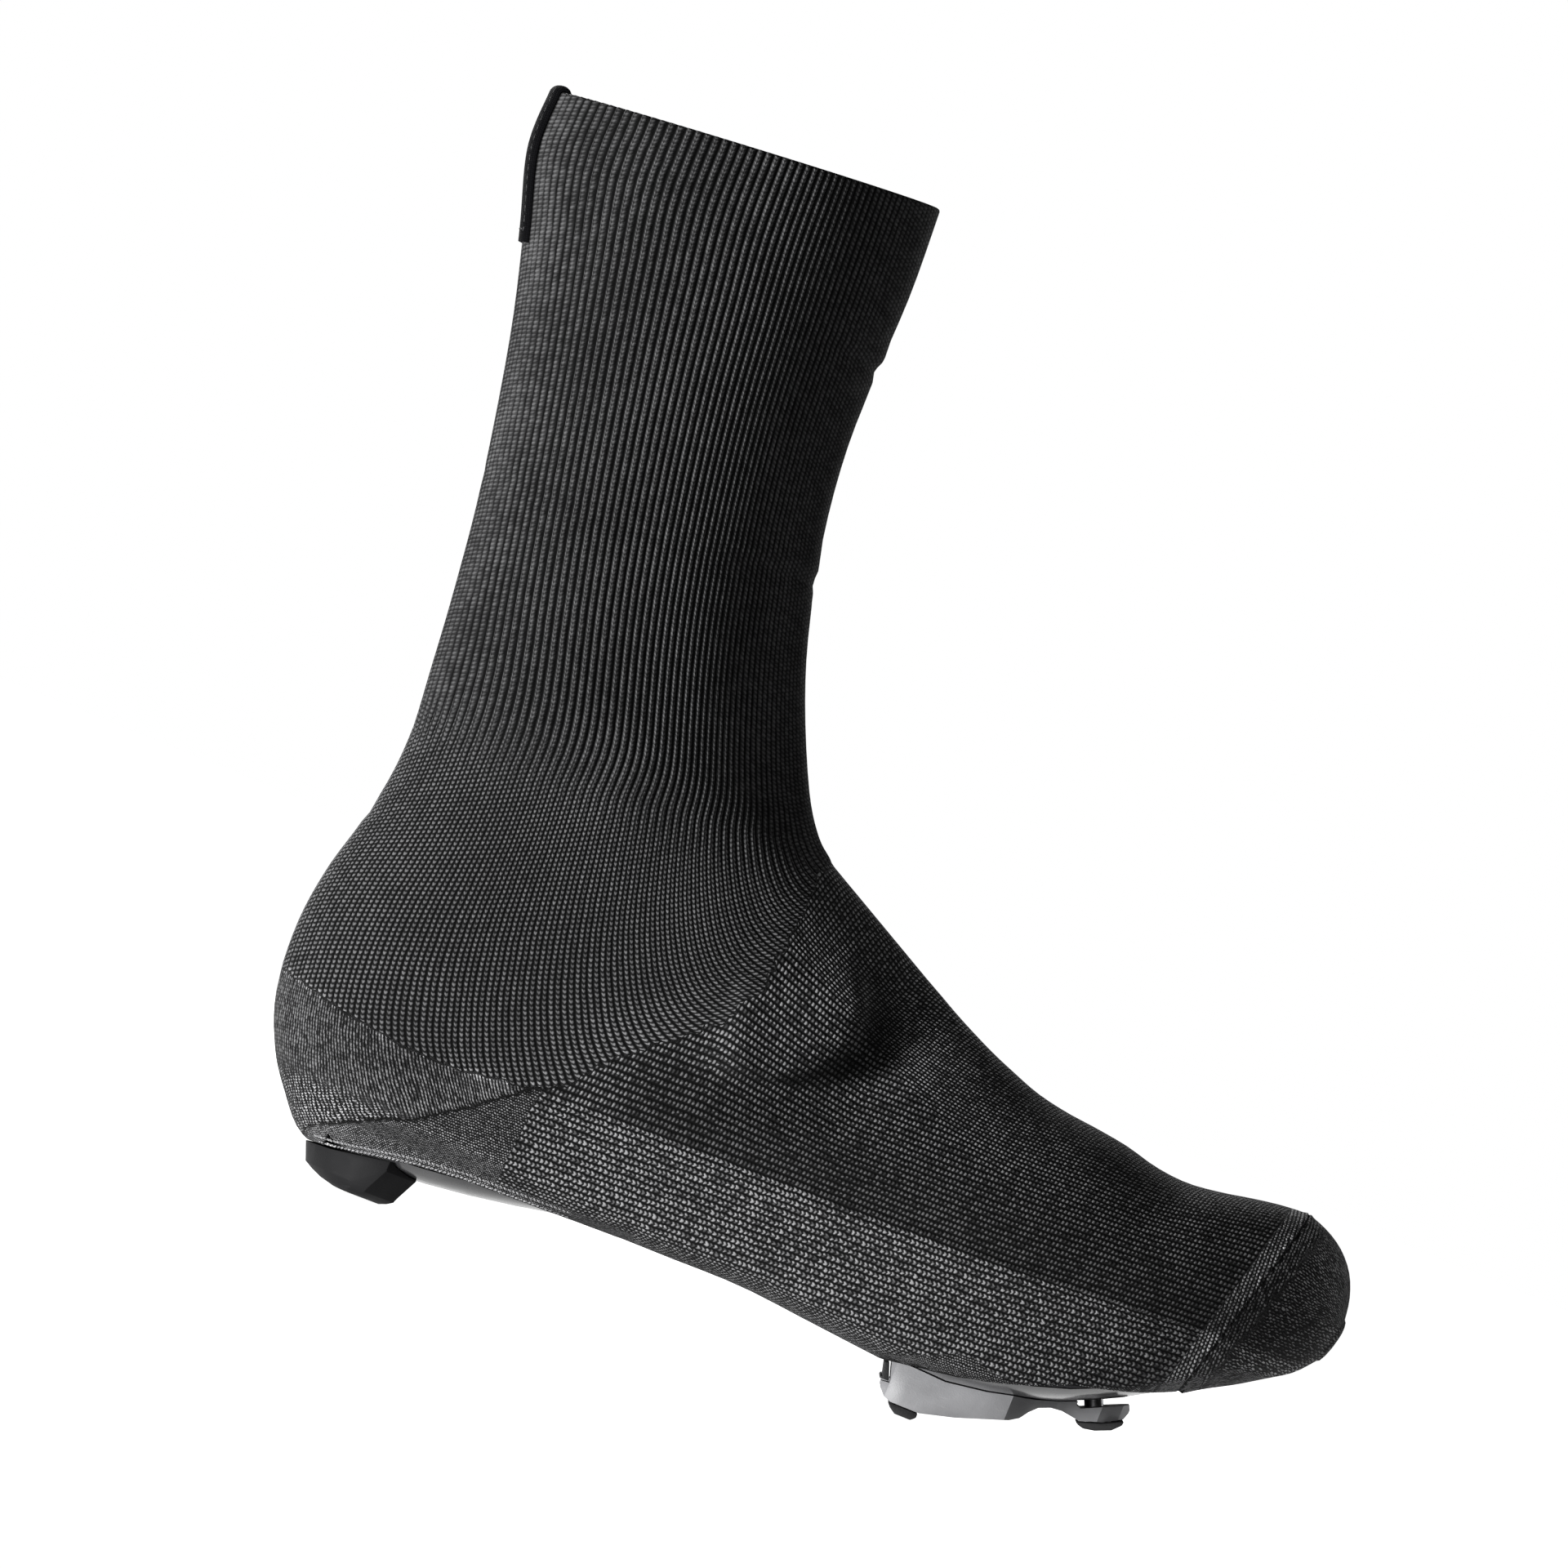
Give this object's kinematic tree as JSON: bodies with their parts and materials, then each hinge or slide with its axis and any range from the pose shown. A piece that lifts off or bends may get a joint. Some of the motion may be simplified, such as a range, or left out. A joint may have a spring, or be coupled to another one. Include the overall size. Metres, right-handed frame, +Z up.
{
  "type": "knitted cycling overshoe",
  "caption": "Tall knitted overshoe for cycling, right foot: hollow, open at the collar, with the shoe's sole plate, heel pad and bolted cleat showing through openings underneath.",
  "frame": {"origin": "middle of the shoe's bounding box, on the floor that its heel pad and cleat stand on", "axes": "+X towards the toe, +Y towards the big toe side, +Z up"},
  "size_m": [0.3108, 0.1002, 0.292],
  "materials": {
    "knit": "coarse charcoal knit",
    "tape": "smooth black tape",
    "plate": "smooth dark composite",
    "insole": "dark foam with a cloth face",
    "pad": "satin dark grey rubber",
    "cleat": "satin light grey moulding",
    "trim": "matt black rubber",
    "steel": "plain steel"
  },
  "bodies": {
    "root": {"knit_upper": "knit", "pull_tab": "tape", "sole_plate": "plate", "insole": "insole", "heel_pad": "pad", "cleat_body": "cleat", "cleat_pad_outer": "trim", "cleat_pad_inner": "trim", "cleat_pad_nose": "trim", "cleat_tail": "trim", "bolt_outer": "steel", "bolt_inner": "steel", "bolt_front": "steel", "bolt_outer_washer": "steel", "bolt_inner_washer": "steel", "bolt_front_washer": "steel"}
  },
  "joints": []
}
